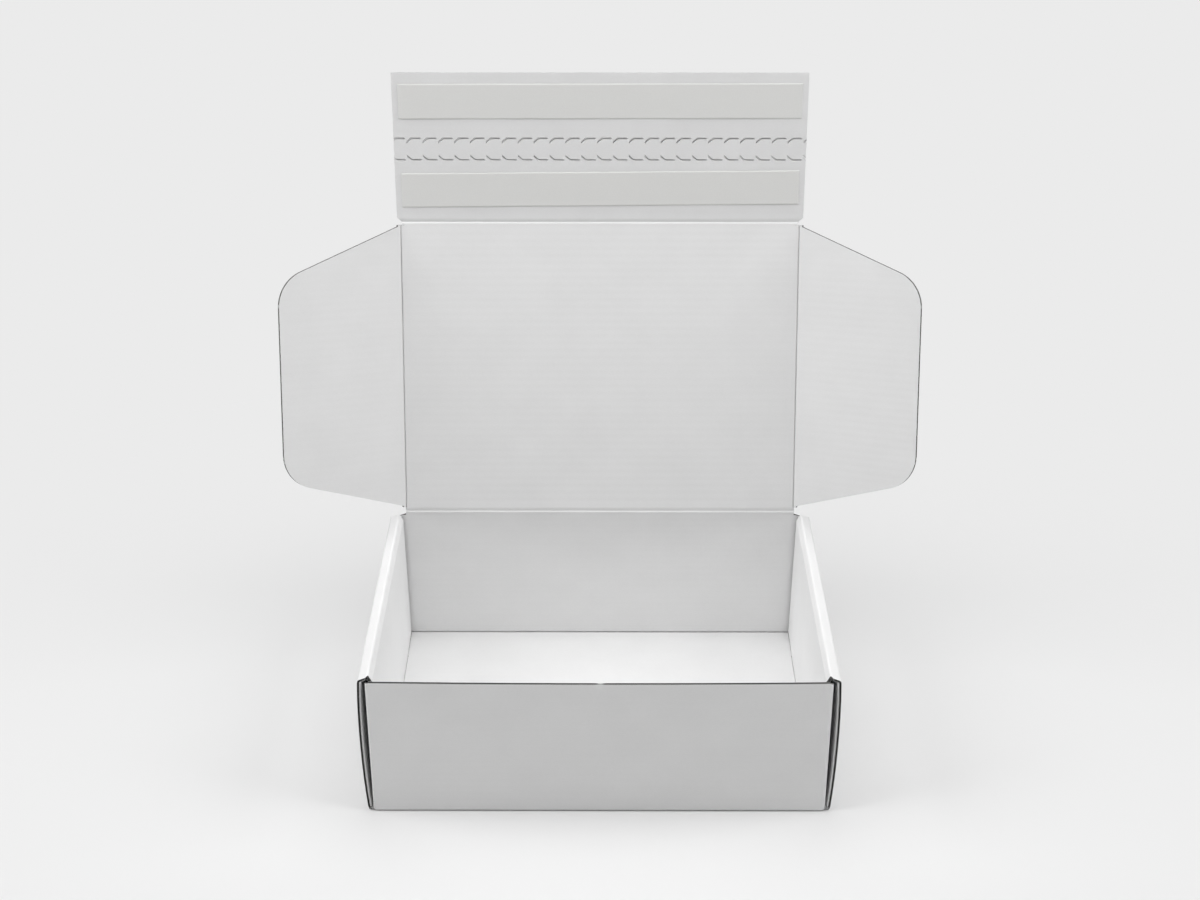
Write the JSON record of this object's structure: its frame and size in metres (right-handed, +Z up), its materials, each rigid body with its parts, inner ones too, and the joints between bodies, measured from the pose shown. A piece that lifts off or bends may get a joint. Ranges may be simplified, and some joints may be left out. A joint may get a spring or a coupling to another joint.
{
  "type": "corrugated mailer box",
  "caption": "Open corrugated mailer box: rolled side walls, hinged lid with dust flaps, and a closing flap with a tear strip and adhesive under release liners.",
  "frame": {"origin": "middle of the tray's underside, the face that the box stands on", "axes": "+X to the box's right along its long side, +Y to the back where the lid is hinged, +Z up"},
  "size_m": [0.5452, 0.3457, 0.5088],
  "materials": {
    "board": "matte white-lined corrugated board with a darker fluted core at its cut edges",
    "adhesive": "tacky hot-melt adhesive",
    "release_liner": "smooth silicone-coated release paper"
  },
  "bodies": {
    "tray": {"tray": "board"},
    "lid": {"lid_panel": "board"},
    "dust_flap_left": {"dust_flap_left": "board"},
    "dust_flap_right": {"dust_flap_right": "board"},
    "closing_flap": {"closing_flap": "board", "adhesive_strip_lower": "adhesive", "adhesive_strip_upper": "adhesive", "release_liner_lower": "release_liner", "release_liner_upper": "release_liner"}
  },
  "joints": [
    {"name": "lid_hinge", "type": "hinge", "parent": "tray", "child": "lid", "pos_m": [0, 0.12765, 0.13239], "axis": [1, 0, 0], "range_deg": [-73.2, 74]},
    {"name": "dust_flap_left_hinge", "type": "hinge", "parent": "lid", "child": "dust_flap_left", "pos_m": [-0.1737, 0.12765, 0.13239], "axis": [0, 0.289, 0.9573], "range_deg": [-32.4, 57.6]},
    {"name": "dust_flap_right_hinge", "type": "hinge", "parent": "lid", "child": "dust_flap_right", "pos_m": [0.1737, 0.12765, 0.13239], "axis": [0, -0.289, -0.9573], "range_deg": [-32.4, 57.6]},
    {"name": "closing_flap_hinge", "type": "hinge", "parent": "lid", "child": "closing_flap", "pos_m": [0, 0.20262, 0.38072], "axis": [1, 0, 0], "range_deg": [-101.2, 78.8]}
  ]
}
